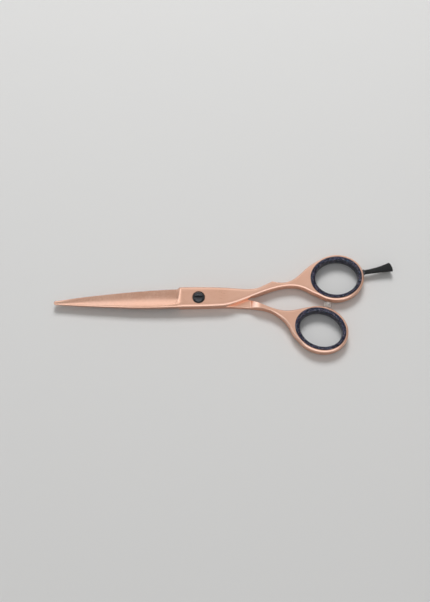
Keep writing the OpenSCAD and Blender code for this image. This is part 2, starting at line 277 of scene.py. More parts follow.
def side_line(half, side):
    """One side of a half's outline: round the tip, through the knots, then round the ring."""
    knots = half["edge_side"] if side > 0 else half["spine_side"]
    join = half["join"][0 if side > 0 else 1]
    centre = np.array(half["tip"], float)
    arc = np.radians(np.linspace(0, TIP_TURN, TIP_STEPS, endpoint=False))
    tip = centre + TIP_R * np.stack([-np.cos(arc), side * np.sin(arc)], -1)
    end = np.radians(TIP_TURN)
    start = centre + TIP_R * np.array([-np.cos(end), side * np.sin(end)])
    # the last point lies on the ring beyond the join, and only steers the curve into it
    p = np.vstack([start, knots, oval(half["ring"], join), oval(half["ring"], join * 0.9)])
    corner = half["peak"] + 1 if side > 0 and half["peak"] is not None else None
    before, after, chord = knot_slopes(p, corner)
    counts = station_counts([half["tip"], *half["edge_side"], oval(half["ring"], half["join"][0])])
    spans = []
    for i, count in enumerate(counts):
        t = np.linspace(0, 1, count, endpoint=False)[:, None]
        m0, m1 = after[i] * chord[i], before[i + 1] * chord[i]
        spans.append((2 * t**3 - 3 * t**2 + 1) * p[i] + (t**3 - 2 * t**2 + t) * m0
                     + (3 * t**2 - 2 * t**3) * p[i + 1] + (t**3 - t**2) * m1)
    ring = oval(half["ring"], join * np.linspace(1, 0, RING_STEPS + 1))
    return np.vstack([tip, *spans, ring])


def inward(line, side):
    """The direction into the metal at each point of one side."""
    step = unit(np.diff(line, axis=0))
    before = np.vstack([[0, side], step])
    after = np.vstack([step, [0, -side]])
    t = unit(before + after)
    return side * np.stack([t[:, 1], -t[:, 0]], -1)


# ---------------------------------------------------------------- the faces of a half


def drop(s):
    """How far a rounded edge has dropped, as a share of its radius, at a share of the way in."""
    return 1 - np.sqrt(np.maximum(0, 1 - (1 - s) ** 2))


def spine_t(x):
    return mix(TIP_T, HALF_T, clamp01(1 + (x - PLUNGE_X) / TIP_LENGTH))


def nose(x):
    """How far a blade has risen from nothing at its tip to its full thickness, as a quarter round."""
    return 1 - drop(clamp01((x - TIP_X) / NOSE_LENGTH))


def edge_width(x, at_pivot):
    return mix(at_pivot, SHANK_EDGE_R, ease(*SHANK_BLEND, x))


def ground_border(x, to_spine):
    """Distance inside the ground face's border.

    The border turns a round corner from the plunge, follows the spine and runs out over it.
    """
    a, b = PLUNGE_X - x, to_spine + mix(*RUN_OUT_AT, ease(*RUN_OUT, x))
    corner = PLUNGE_R - np.hypot(PLUNGE_R - a, PLUNGE_R - b)
    return np.where((a < PLUNGE_R) & (b < PLUNGE_R), corner, np.minimum(a, b))


def blade_face(x, share):
    crown = spine_t(x) - FACE_RECESS * ease(RECESS_X, PLUNGE_X, x)
    return RIDE_Z + mix(EDGE_FACE_T, crown, 1 - (1 - share) ** FACE_POWER)


def edge_drop(x, s, roll):
    """How far an edge lowers the outer face: a wide shallow roll and a tight corner, or one full round."""
    full = ease(*SHANK_BLEND, x)
    corner = mix(FLAT_EDGE_R, SHANK_EDGE_R, full) * drop(clamp01(s / mix(CORNER_SHARE, 1, full)))
    return corner + roll * (1 - full) * (1 - s) ** 2


def outer_height(x, share, edge, spine, width):
    """Height of the outer face: flat with rounded edges, or ground away along the blade."""
    level = mix(RIDE_Z + spine_t(x), RING_HI, ease(*LEVEL_BLEND, x))
    spine_drop = edge_drop(x, spine, SPINE_ROLL * ease(PLUNGE_X - 5, PLUNGE_X + 1, x))
    flat = level - edge_drop(x, edge, EDGE_ROLL) - spine_drop
    # the honed bevel is straight, from the edge up to the face's height at the bevel's far side
    hone_share = clamp01(np.where(edge < HONE_STEP, share * HONE_STEP / np.maximum(edge, 1e-6), share))
    ground = np.where(edge < HONE_STEP,
                      mix(RIDE_Z + HONED_T, blade_face(x, hone_share), edge / HONE_STEP),
                      blade_face(x, share)) - spine_drop
    ground = np.maximum(ground, RIDE_Z + HONED_T)
    border = ground_border(x, (1 - share) * width)
    flat = flat - PLUNGE_ROLL * clamp01(1 + border / EDGE_W) ** 2
    height = mix(flat, ground, ease(-PLUNGE_CREST, PLUNGE_FILLET, border))
    return RIDE_Z + (height - RIDE_Z) * nose(x)


def inner_height(x, row_x, share, edge, spine):
    """Height of the inner face: flat at the pivot, hollow along the blade, stepped at the shank.

    The step starts with a crisp line, so it follows the stations and not x itself.
    """
    rise = 1 - (1 - clamp01((row_x - JOGGLE_START) / (JOGGLE_END - JOGGLE_START))) ** 2
    level = mix(RIDE_Z, RING_LO, rise)
    hollow = HOLLOW_DEPTH * np.sin(np.pi * clamp01((share - RIDE_LINE) / HOLLOW_SHARE))
    hollow = hollow * ease(PLUNGE_X, PLUNGE_X - 4, x)
    full = ease(JOGGLE_END, FULL_ROUND_X, x)
    r, corner = mix(INNER_EDGE_R, SHANK_EDGE_R, full), mix(INNER_CORNER, 1, full)
    on_blade = ease(PLUNGE_X, PLUNGE_X - 3, x)
    edge_rise, spine_rise = drop(clamp01(edge / corner)), drop(clamp01(spine / corner))
    return level + nose(x) * (hollow + r * (edge_rise * (1 - on_blade) + spine_rise))


# Steps into a rounded edge by the turn of its arc, with one step where the honed bevel ends
HONE_TURN = math.degrees(math.acos(1 - HONE_STEP))
EDGE_TURNS = np.concatenate([np.linspace(0, HONE_TURN, 5), np.linspace(HONE_TURN, 90, 7)[1:]])
EDGE_STEPS = 1 - np.cos(np.radians(EDGE_TURNS))
EDGE_STEPS[-1] = 1
HONE_COLUMN = 4
MIDDLE = np.linspace(0, 1, 38)[1:-1]


def half_grid(half):
    """Every place on a half: points, outer heights, inner heights and shares, by station and column."""
    u, v = side_line(half, 1), side_line(half, -1)
    nu, nv = inward(u, 1), inward(v, -1)
    w = np.linalg.norm(u - v, axis=1)
    room = np.where(u[:, 0] < WEB_X, EDGE_LIMIT * w, SHANK_EDGE_R)
    ru = np.minimum(edge_width(u[:, 0], EDGE_W), room)
    rv = np.minimum(edge_width(v[:, 0], SPINE_W), room)
    safe = np.maximum(w, 0.01)[:, None]
    across = (v - u) / safe
    on_web = ease(*WEB_BLEND, u[:, :1])
    nu, nv = unit(mix(across, nu, on_web)), unit(mix(-across, nv, on_web))
    s = EDGE_STEPS
    near = u[:, None] + nu[:, None] * (ru[:, None] * s)[..., None]
    far = v[:, None] + nv[:, None] * (rv[:, None] * s[::-1])[..., None]
    middle = mix(near[:, -1][:, None], far[:, 0][:, None], MIDDLE[None, :, None])
    points = np.concatenate([near, middle, far], axis=1)
    share = np.concatenate([
        ru[:, None] * s / safe,
        mix(ru[:, None] / safe, 1 - rv[:, None] / safe, MIDDLE),
        1 - rv[:, None] * s[::-1] / safe,
    ], axis=1)
    share = np.where(w[:, None] < 0.01, 0.5, clamp01(share))
    ones = np.ones(len(MIDDLE) + len(s))
    edge = np.concatenate([s, ones])[None]
    spine = np.concatenate([ones, s[::-1]])[None]
    x = points[..., 0]
    outer = outer_height(x, share, edge, spine, w[:, None])
    # moved a little, so that one station lies exactly where the step starts
    row_x = (u[:, :1] + v[:, :1]) / 2
    row_x = row_x + JOGGLE_START - row_x[np.argmin(abs(row_x - JOGGLE_START))]
    inner = inner_height(x, row_x, share, edge, spine)
    return points, outer, inner, share, w


# Material slots of a half, in order
COATED, COATED_GROUND, HONED, HOLLOW = range(4)


def half_blank(half):
    """Points, faces and material slots of the solid between a half's outer and inner faces."""
    points, outer, inner, share, w = half_grid(half)
    rows, columns = points.shape[:2]
    last_step = len(EDGE_STEPS) - 1
    index = np.arange(rows * columns).reshape(rows, columns)
    j = np.arange(columns)
    mirrored = columns - 1 - j
    shared = np.where(j <= last_step, j, np.where(mirrored <= last_step, mirrored, last_step))
    # both sides meet at the tip and at the ring's far end, so their columns share points there
    index[0], index[-1] = shared, (rows - 1) * columns + shared
    below = rows * columns
    x = points[..., 0]
    ground = ground_border(x, (1 - share) * w[:, None]) > PLUNGE_FILLET / 2
    faces, slots = [], []

    def add(corners, slot):
        ring = [c for k, c in enumerate(corners) if c != corners[k - 1]]
        if len(set(ring)) > 2:
            faces.append(ring)
            slots.append(slot)

    for i in range(rows - 1):
        blade = x[i, 0] < BARE_X
        for c in range(columns - 1):
            a, b, d, e = index[i, c], index[i + 1, c], index[i + 1, c + 1], index[i, c + 1]
            honed = blade and c < HONE_COLUMN
            add([a, b, d, e], HONED if honed else COATED_GROUND if ground[i, c] else COATED)
            ride = share[i, c] < RIDE_LINE - 0.005
            add([e + below, d + below, b + below, a + below],
                (HONED if ride else HOLLOW) if blade else COATED)
        a, b = index[i, 0], index[i + 1, 0]
        add([a, a + below, b + below, b], HONED if blade else COATED)
        a, b = index[i, -1], index[i + 1, -1]
        add([a, b, b + below, a + below], COATED)
    flat = points.reshape(-1, 2)
    top = np.column_stack([flat, outer.ravel()])
    bottom = np.column_stack([flat, inner.ravel()])
    return np.vstack([top, bottom]), faces, slots


# ---------------------------------------------------------------- making meshes


def make_mesh(name, points, faces, materials, slots=None, smooth=32.0):
    """A mesh object from points in millimetres, smooth but for edges sharper than an angle."""
    mesh = bpy.data.meshes.new(name)
    mesh.from_pydata((np.asarray(points, float) * MM).tolist(), [], [list(map(int, f)) for f in faces])
    if slots is not None:
        mesh.polygons.foreach_set("material_index", slots)
    b = bmesh.new()
    b.from_mesh(mesh)
    bmesh.ops.remove_doubles(b, verts=b.verts, dist=1e-8)
    bmesh.ops.delete(b, geom=[e for e in b.edges if not e.link_faces], context="EDGES")
    bmesh.ops.delete(b, geom=[v for v in b.verts if not v.link_faces], context="VERTS")
    bmesh.ops.recalc_face_normals(b, faces=b.faces)
    b.to_mesh(mesh)
    b.free()
    for m in materials:
        mesh.materials.append(m)
    shade(mesh, smooth)
    piece = bpy.data.objects.new(name, mesh)
    bpy.context.scene.collection.objects.link(piece)
    return piece


def shade(mesh, degrees):
    mesh.polygons.foreach_set("use_smooth", [True] * len(mesh.polygons))
    mesh.set_sharp_from_angle(angle=math.radians(degrees))
    mesh.update()


def apply_modifiers(piece):
    """Replaces a piece's mesh with what its modifiers make of it."""
    bpy.context.view_layer.update()
    evaluated = piece.evaluated_get(bpy.context.evaluated_depsgraph_get())
    made = bpy.data.meshes.new_from_object(evaluated)
    piece.modifiers.clear()
    old, piece.data = piece.data, made
    bpy.data.meshes.remove(old)


def cut(piece, cutters):
    """Cuts closed shapes out of a piece, and removes them."""
    for cutter in cutters:
        modifier = piece.modifiers.new("cut", "BOOLEAN")
        modifier.object = cutter
        modifier.operation = "DIFFERENCE"
        modifier.solver = "MANIFOLD"
    apply_modifiers(piece)
    for cutter in cutters:
        bpy.data.objects.remove(cutter)


def soften(piece, width):
    """Rounds a piece's sharp edges."""
    modifier = piece.modifiers.new("soft_edges", "BEVEL")
    modifier.width = width * MM
    modifier.segments = 2
    modifier.limit_method = "ANGLE"
    modifier.angle_limit = math.radians(35)
    modifier.harden_normals = True
    apply_modifiers(piece)


def rings_to_faces(count, sides, closed_rows=False):
    """Quads between rings of points, each ring having the same number of sides."""
    faces = []
    for i in range(count if closed_rows else count - 1):
        n = (i + 1) % count
        for k in range(sides):
            m = (k + 1) % sides
            faces.append([i * sides + k, n * sides + k, n * sides + m, i * sides + m])
    return faces


def revolve(name, profile, materials, segments=96, turned=None, smooth=32.0):
    """A closed (radius, height) outline turned round the Z axis, or round a matrix's own Z axis.

    Outline points on the axis become one point each.
    """
    a = np.linspace(0, 2 * np.pi, segments, endpoint=False)
    points = [(r * math.cos(t), r * math.sin(t), z) for r, z in profile for t in a]
    return make_mesh(name, placed(points, turned), rings_to_faces(len(profile), segments, True),
                     materials, smooth=smooth)


def placed(points, turned):
    """Points moved by a matrix, or left where they are."""
    if turned is None:
        return points
    p = np.asarray(points, float)
    m = np.array(turned)
    return p @ m[:3, :3].T + m[:3, 3]


THREAD_PITCH = 0.4


def thread_line(radius, z0, z1, depth, outside=True):
    """Outline points of a screw thread's ridges, as closely spaced grooves."""
    turns = max(1, round(abs(z1 - z0) / THREAD_PITCH))
    step = (z1 - z0) / turns
    inner = radius - depth if outside else radius + depth
    line = []
    for k in range(turns):
        z = z0 + k * step
        line += [(radius, z + 0.06 * step), (inner, z + 0.44 * step),
                 (inner, z + 0.56 * step), (radius, z + 0.94 * step)]
    return line


def show(piece, body, slot, *nodes):
    """A finished piece: what it moves with and which CAD nodes it stands for; the finish's name, slot, is
    not used.
    """
    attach(piece, body)
    if nodes:
        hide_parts(*nodes)
    return piece


# ---------------------------------------------------------------- materials


class Shader:
    """A node material under construction: colour, roughness and bump feed one Principled shader."""

    def __init__(self, name, **constants):
        self.material = bpy.data.materials.new(name)
        self.material.use_nodes = True
        self.tree = self.material.node_tree
        self.shader = self.tree.nodes["Principled BSDF"]
        for socket, value in constants.items():
            self.shader.inputs[socket.replace("_", " ")].default_value = value

    def node(self, kind, settings=(), **inputs):
        made = self.tree.nodes.new("ShaderNode" + kind)
        for key, value in dict(settings).items():
            setattr(made, key, value)
        for socket, value in inputs.items():
            self.feed(made.inputs[socket.replace("_", " ")], value)
        return made

    def feed(self, socket, value):
        if isinstance(value, bpy.types.NodeSocket):
            self.tree.links.new(value, socket)
        else:
            socket.default_value = value

    def place(self, scale=(1, 1, 1), turn=(0, 0, 0)):
        """Position on the object in metres, stretched by a scale along each axis."""
        where = self.node("TexCoord").outputs["Object"]
        return self.node("Mapping", Vector=where, Scale=scale, Rotation=turn).outputs["Vector"]

    def noise(self, scale, detail=2.0, where=None):
        vector = self.place() if where is None else where
        return self.node("TexNoise", Vector=vector, Scale=scale, Detail=detail).outputs["Fac"]

    def ramp(self, value, *stops):
        """A colour or grey that follows a value through stops of (place, colour)."""
        made = self.node("ValToRGB", Fac=value)
        band = made.color_ramp
        while len(band.elements) < len(stops):
            band.elements.new(0.5)
        for element, (place, colour) in zip(band.elements, stops):
            element.position = place
            grey = isinstance(colour, (int, float))
            element.color = (colour, colour, colour, 1) if grey else (*colour, 1)
        return made.outputs["Color"]

    def range(self, value, low, high, to_low=0.0, to_high=1.0):
        """A value taken from one range to another, and kept inside it."""
        made = self.node("MapRange", Value=value, From_Min=low, From_Max=high, To_Min=to_low, To_Max=to_high)
        return made.outputs["Result"]

    def maths(self, operation, a, b=0.0):
        made = self.tree.nodes.new("ShaderNodeMath")
        made.operation = operation
        self.feed(made.inputs[0], a)
        self.feed(made.inputs[1], b)
        return made.outputs["Value"]

    def blend(self, share, a, b):
        made = self.node("Mix", settings={"data_type": "RGBA"})
        for socket, value in ((made.inputs["Factor"], share), (made.inputs[6], a), (made.inputs[7], b)):
            if not isinstance(value, (bpy.types.NodeSocket, float, int)):
                value = (*value, 1)
            self.feed(socket, value)
        return made.outputs[2]

    def bump(self, height, distance, strength=1.0, under=None):
        made = self.node("Bump", Height=height, Distance=distance, Strength=strength)
        if under is not None:
            self.feed(made.inputs["Normal"], under)
        return made.outputs["Normal"]

    def edge(self):
        """1 on rounded edges, 0 on faces that lie flat or stand upright."""
        normal = self.node("TexCoord").outputs["Normal"]
        z = self.node("SeparateXYZ", Vector=normal).outputs["Z"]
        steep = self.maths("ABSOLUTE", z)
        below = self.range(steep, 0.9, 0.99, 1, 0)
        above = self.range(steep, 0.05, 0.25, 0, 1)
        return self.maths("MULTIPLY", below, above)

    def finish(self, colour=None, roughness=None, normal=None):
        for socket, value in (("Base Color", colour), ("Roughness", roughness), ("Normal", normal)):
            if value is not None:
                self.feed(self.shader.inputs[socket], value)
        return self.material


# Tones of the steel: dark and light for the smears, pale for the grain's streaks and the rounded edges. On
# those edges the paleness is partly worn coating and partly painted highlight.
ROSE = (0.83, 0.48, 0.34)
ROSE_DEEP = (0.80, 0.44, 0.30)
ROSE_PALE = (0.91, 0.65, 0.53)
STEEL = (0.66, 0.66, 0.68)
HONED_STEEL = (STEEL, (0.74, 0.74, 0.76), (0.84, 0.84, 0.86))
HOLLOW_STEEL = ((0.62, 0.60, 0.57), (0.66, 0.64, 0.61), (0.74, 0.72, 0.69))


def brushed(name, along, tones, rough, wear_and_highlight=0.5):
    """Coated or bare steel with a fine grain, soft smears and smoother, paler rounded edges: partly worn
    coating, partly painted highlight.
    """
    s = Shader(name, Metallic=1.0)
    grain_scale = {"x": (500, 14000, 14000), "y": (14000, 500, 14000)}[along]
    grain = s.noise(1.0, 3.0, where=s.place(grain_scale))
    smear = s.noise(55.0, 3.0)
    scratch = s.noise(1.0, 1.0, where=s.place((90, 2600, 2600), (0, 0, 0.5)))
    scratches = s.range(scratch, 0.70, 0.76)
    dark, light, pale = tones
    colour = s.blend(s.range(smear, 0.3, 0.7), dark, light)
    colour = s.blend(s.range(grain, 0.3, 0.75, 0, 0.12), colour, pale)
    # Rounded edges turn paler and smoother: partly worn coating, partly painted highlight.
    worn_and_highlight = s.maths("MULTIPLY", s.edge(), s.range(smear, 0.35, 0.75, 0.3 * wear_and_highlight, wear_and_highlight))
    colour = s.blend(worn_and_highlight, colour, pale)
    roughness = s.maths("ADD", s.range(grain, 0.25, 0.8, rough - 0.03, rough + 0.04),
                        s.range(smear, 0.3, 0.75, -0.02, 0.04))
    roughness = s.maths("SUBTRACT", roughness, s.maths("MULTIPLY", worn_and_highlight, 0.08))
    normal = s.bump(grain, 0.000001, 0.35)
    normal = s.bump(scratches, 0.000002, 0.3, normal)
    return s.finish(colour, roughness, normal)


TURNED_PITCH = 0.12   # distance between the rings that turning leaves


def turned(name, tones, rough, metallic=1.0, coat=0.0):
    """A lathe-turned part: rings round the pivot axis, with fine speckle."""
    s = Shader(name, Metallic=metallic, Coat_Weight=coat, Coat_Roughness=0.12)
    where = s.node("TexCoord").outputs["Object"]
    flat = s.node("VectorMath", settings={"operation": "MULTIPLY"})
    s.feed(flat.inputs[0], where)
    flat.inputs[1].default_value = (1, 1, 0)
    length = s.node("VectorMath", settings={"operation": "LENGTH"})
    s.feed(length.inputs[0], flat.outputs[0])
    turns = s.maths("MULTIPLY", length.outputs["Value"], 2 * math.pi / (TURNED_PITCH * MM))
    rings = s.maths("SINE", turns)
    rings = s.maths("ADD", rings, s.noise(3000.0, 2.0))
    speckle = s.noise(900.0, 3.0)
    dark, light = tones
    colour = s.blend(s.range(speckle, 0.3, 0.7), dark, light)
    roughness = s.range(speckle, 0.3, 0.7, rough - 0.05, rough + 0.08)
    return s.finish(colour, roughness, s.bump(rings, 0.000004, 0.35))


def glitter_resin():
    """Dark glossy plastic full of fine glitter."""
    s = Shader("glitter_resin", Coat_Weight=0.1, Coat_Roughness=0.12, Specular_IOR_Level=0.2)
    cells = s.node("TexVoronoi", Vector=s.place(), Scale=5200.0)
    pick = s.node("SeparateColor", Color=cells.outputs["Color"])
    shine = s.range(pick.outputs["Red"], 0.78, 0.80)
    hue = s.ramp(pick.outputs["Green"], (0.0, (0.10, 0.07, 0.20)), (0.35, (0.04, 0.12, 0.18)),
                 (0.6, (0.16, 0.12, 0.18)), (1.0, (0.40, 0.36, 0.40)))
    cloud = s.noise(350.0, 2.0)
    base = s.blend(s.range(cloud, 0.35, 0.65), (0.004, 0.005, 0.012), (0.012, 0.006, 0.016))
    colour = s.blend(shine, base, hue)
    roughness = s.range(shine, 0, 1, 0.22, 0.34)
    s.feed(s.shader.inputs["Metallic"], s.maths("MULTIPLY", shine, 0.85))
    ripple = s.noise(700.0, 2.0)
    return s.finish(colour, roughness, s.bump(ripple, 0.00003, 0.25))


def flake(name, colour):
    """One colour of the larger glitter flakes."""
    s = Shader(name, Metallic=1.0)
    tone = s.noise(1500.0, 1.0)
    pale = tuple(min(1, c * 1.35) for c in colour)
    return s.finish(s.blend(s.range(tone, 0.35, 0.65), colour, pale), s.range(tone, 0.3, 0.7, 0.18, 0.30))


def clear_rubber():
    s = Shader("clear_rubber", Subsurface_Weight=0.25, Subsurface_Scale=0.0016, IOR=1.41,
               Transmission_Weight=0.7)
    s.shader.inputs["Subsurface Radius"].default_value = (1.0, 0.75, 0.65)
    cloud = s.noise(900.0, 2.0)
    colour = s.blend(s.range(cloud, 0.3, 0.7), (0.78, 0.74, 0.70), (0.86, 0.82, 0.79))
    return s.finish(colour, s.range(cloud, 0.3, 0.7, 0.14, 0.24), s.bump(cloud, 0.00001, 0.3))


def matt_rubber():
    s = Shader("matt_rubber", Specular_IOR_Level=0.2, Sheen_Weight=0.05)
    pores = s.noise(5200.0, 2.0)
    dust = s.noise(260.0, 4.0)
    dusty = s.range(dust, 0.45, 0.75, 0, 0.55)
    colour = s.blend(dusty, (0.016, 0.016, 0.0155), (0.042, 0.0415, 0.040))
    roughness = s.range(dust, 0.3, 0.75, 0.52, 0.74)
    return s.finish(colour, roughness, s.bump(pores, 0.00001, 0.5))


def washer_polymer():
    s = Shader("washer_polymer", Subsurface_Weight=0.15, Subsurface_Scale=0.0005)
    grain = s.noise(2500.0, 3.0)
    colour = s.blend(s.range(grain, 0.3, 0.7), (0.74, 0.71, 0.62), (0.82, 0.80, 0.72))
    return s.finish(colour, s.range(grain, 0.3, 0.7, 0.42, 0.58), s.bump(grain, 0.000006, 0.4))


def studio_floor():
    s = Shader("studio_floor")
    grain = s.noise(40.0, 4.0)
    return s.finish(s.blend(grain, (0.80, 0.80, 0.795), (0.815, 0.815, 0.81)),
                    s.range(grain, 0.3, 0.7, 0.68, 0.76))


coated = brushed("coated_steel", "x", (ROSE_DEEP, ROSE, ROSE_PALE), 0.30)
coated_ground = brushed("coated_ground", "y", (ROSE_DEEP, ROSE, ROSE_PALE), 0.26, wear_and_highlight=0.3)
honed = brushed("honed_steel", "x", HONED_STEEL, 0.16, wear_and_highlight=0.2)
hollow_ground = brushed("hollow_ground", "y", HOLLOW_STEEL, 0.34, wear_and_highlight=0.2)
HALF_MATERIALS = [coated, coated_ground, honed, hollow_ground]
nut_metal = turned("coated_nut", (ROSE_DEEP, ROSE), 0.28)
bronze = turned("bush_bronze", ((0.62, 0.40, 0.17), (0.72, 0.50, 0.25)), 0.30)
spring = turned("spring_steel", ((0.50, 0.50, 0.52), STEEL), 0.24)
black = turned("black_steel", ((0.010, 0.010, 0.012), (0.022, 0.022, 0.025)), 0.24, metallic=0.2, coat=0.6)
# Painted shade: a darker, matt black for the inside of the screw's slot.
slot_painted_shade = turned("slot_painted_shade", ((0.003, 0.003, 0.005), (0.006, 0.006, 0.009)), 0.45, metallic=0.0)
resin = glitter_resin()
FLAKES = [flake("flake_silver", (0.46, 0.44, 0.47)), flake("flake_violet", (0.15, 0.09, 0.21)),
          flake("flake_teal", (0.05, 0.15, 0.20)), flake("flake_rose", (0.30, 0.19, 0.20))]
silicone = clear_rubber()
rubber = matt_rubber()
polymer = washer_polymer()

# ---------------------------------------------------------------- the two halves

OVER = 1.0       # how far a cutting shape runs past the metal
CHAMFER = 0.12   # broken edges of the holes
HALF_SHARP = 44  # degrees beyond which an edge of a half stays sharp

# From a half as drawn to its place: the thumb half is turned over
AS_DRAWN = Matrix.Identity(4)
TURNED_OVER = Matrix(((1, 0, 0, 0), (0, -1, 0, 0), (0, 0, -1, TOTAL_T), (0, 0, 0, 1)))


def along_rest():
    """The finger rest's own axis: Z runs out of the ring, and X points down."""
    a = math.radians(REST_ANGLE)
    out = Vector((math.cos(a), math.sin(a), 0))
    down = Vector((0, 0, -1))
    across = out.cross(down)
    m = Matrix((down, across, out)).transposed().to_4x4()
    m.translation = Vector(REST_AT)
    return m


def cylinder(name, radius, z0, z1, turned_to=None, flare=0.0):
    """A cutting shape: a cylinder, with its far end flared by a chamfer."""
    profile = [(0, z0), (radius, z0), (radius, z1)]
    if flare:
        profile = [(0, z0), (radius, z0), (radius, z1 - flare),
                   (radius + flare + OVER, z1 + OVER)]
    profile.append((0, profile[-1][1]))
    return revolve(name, profile, [], turned=turned_to)


def ring_hole(half, place):
    """The cutting shape of a ring's hole, an oval prism with chamfers at both faces."""
    a = np.linspace(0, 360, 180, endpoint=False)
    far = CHAMFER + OVER
    levels = [(RING_LO - OVER, far - CHAMFER), (RING_LO + CHAMFER, 0), (RING_HI - CHAMFER, 0),
              (RING_HI + OVER, far - CHAMFER)]
    points = [(x, y, z) for z, out in levels
              for x, y in oval(half["ring"], a, np.full(len(a), out - RING_W))]
    faces = rings_to_faces(len(levels), len(a))
    faces += [list(range(len(a))), list(range(len(points) - len(a), len(points)))]
    return make_mesh("hole", placed(points, place), faces, [])


def make_half(name, half, place, cutters):
    points, faces, slots = half_blank(half)
    piece = make_mesh(name, placed(points, place), faces, HALF_MATERIALS, slots)
    cut(piece, [ring_hole(half, place), *cutters])
    shade(piece.data, HALF_SHARP)
    return piece


rest_axis = along_rest()
stem_axis = Matrix.Translation(BUMPER_AT) @ Matrix.Rotation(math.pi / 2, 4, "X")

finger_half = make_half("finger_half_forged", FINGER, AS_DRAWN, [
    cylinder("bush_hole", BUSH_R, HALF_T - OVER, TOTAL_T + OVER),
    cylinder("counterbore", COUNTERBORE_R, BUSH_TOP, TOTAL_T, flare=CHAMFER),
    cylinder("stud_hole", STUD_R + RUN_CLEAR, -RING_W - 0.3, RING_W, rest_axis),
    cylinder("collar_seat", COLLAR_R + 0.1, -SEAT_DEPTH, 2, rest_axis),
])
show(finger_half, "finger_side", "coated_steel", "finger_half")

FACE_DOWN = Matrix.Rotation(math.pi, 4, "X")
thumb_half = make_half("thumb_half_forged", THUMB, TURNED_OVER, [
    cylinder("nut_pocket", NUT_FLANGE_R, -NUT_FLANGE_T, 0, FACE_DOWN, flare=CHAMFER),
    cylinder("nut_hole", BUSH_R, 0, NUT_TOP),
    cylinder("shoulder_hole", SHOULDER_R + 0.1, 0, HALF_T + OVER),
    cylinder("washer_pocket", RIDE_WASHER_R + 0.05, RIDE_WASHER_Z, HALF_T + OVER),
    cylinder("stem_hole", BUMPER_STEM_R, 0, BUMPER_STEM, stem_axis),
])
show(thumb_half, "thumb_side", "coated_steel", "thumb_half")

# ---------------------------------------------------------------- the pivot


def turned_ring(name, inner, outer, z0, z1, radius, material, body, slot, node):
    """A washer or bush with softened edges."""
    corners = [(inner, z0), (outer, z0), (outer, z1), (inner, z1)]
    piece = revolve(name, rounded(corners, radius), [material], segments=128)
    return show(piece, body, slot, node)


def make_nut():
    """A blind nut with a flange: chamfered, threaded inside."""
    bore = THREAD_R + RUN_CLEAR
    flange, sleeve = NUT_FLANGE_R - 0.02, BUSH_R - 0.02
    profile = [(0, 0), (flange - 0.2, 0), (flange, 0.2), (flange, NUT_FLANGE_T), (sleeve, NUT_FLANGE_T),
               (sleeve, NUT_TOP - 0.15), (sleeve - 0.15, NUT_TOP), (bore + 0.15, NUT_TOP)]
    profile += thread_line(bore, NUT_TOP - 0.1, NUT_FLOOR + 0.1, 0.16, outside=False)
    profile += [(bore - 0.1, NUT_FLOOR), (0, NUT_FLOOR)]
    piece = revolve("pivot_nut_turned", profile, [nut_metal], 128)
    return show(piece, "thumb_side", "coated_nut", "pivot_nut")


def make_wave_washer():
    """A spring washer with three waves, between the bush and the screw's washer."""
    around, waves = 144, 3
    lift = (WAVE_H - WAVE_T) / 2
    loop = rounded([(SHOULDER_R + 0.1, 0), (WASHER_R - 0.05, 0), (WASHER_R - 0.05, WAVE_T),
                    (SHOULDER_R + 0.1, WAVE_T)], 0.03, 2)
    points = []
    for k in range(around):
        a = 2 * math.pi * k / around
        z = BUSH_TOP + lift * (1 + 0.98 * math.cos(waves * a))
        points += [(r * math.cos(a), r * math.sin(a), z + h) for r, h in loop]
    piece = make_mesh("wave_washer_sprung", points, rings_to_faces(around, len(loop), True), [spring])
    return show(piece, "finger_side", "spring_steel", "wave_washer")


def make_screw():
    """The tension screw: threaded end, plain shoulder, domed head with a slot."""
    relief = THREAD_R - 0.2
    profile = [(0, SCREW_END), (THREAD_R - 0.3, SCREW_END)]
    profile += thread_line(THREAD_R, SCREW_END + 0.3, SHOULDER_Z - 0.25, 0.2)
    profile += [(relief, SHOULDER_Z - 0.2), (relief, SHOULDER_Z), (SHOULDER_R - 0.12, SHOULDER_Z),
                (SHOULDER_R, SHOULDER_Z + 0.12), (SHOULDER_R, HEAD_Z)]
    profile += [(HEAD_R - 0.06, HEAD_Z), (HEAD_R, HEAD_Z + 0.06)]
    for a in np.linspace(0, 90, 15):
        t = math.radians(a)
        profile.append((HEAD_R * math.cos(t), HEAD_Z + HEAD_SIDE + DOME_H * math.sin(t)))
    piece = revolve("pivot_screw_turned", profile, [black, slot_painted_shade], 128)
    floor = HEAD_TOP - SLOT_DEPTH
    wide, half_slot, top = HEAD_R + OVER, SLOT_W / 2, HEAD_TOP + OVER
    outline = [(-half_slot, top), (-half_slot, floor + 0.12), (-half_slot + 0.12, floor),
               (half_slot - 0.12, floor), (half_slot, floor + 0.12), (half_slot, top)]
    points = [(x, y, z) for x in (-wide, wide) for y, z in outline]
    n = len(outline)
    faces = rings_to_faces(2, n) + [list(range(n)), list(range(n, 2 * n))]
    cut(piece, [make_mesh("slot", points, faces, [])])
    soften(piece, 0.07)
    # The slot's walls and floor take the darker black: painted shade in the slot.
    for face in piece.data.polygons:
        inside = abs(face.center.y) < (half_slot - 0.08) * MM or abs(face.normal.y) > 0.9
        if inside and floor - 0.1 < face.center.z / MM:
            face.material_index = 1
    return show(piece, "tension_screw", "black_steel", "pivot_screw")


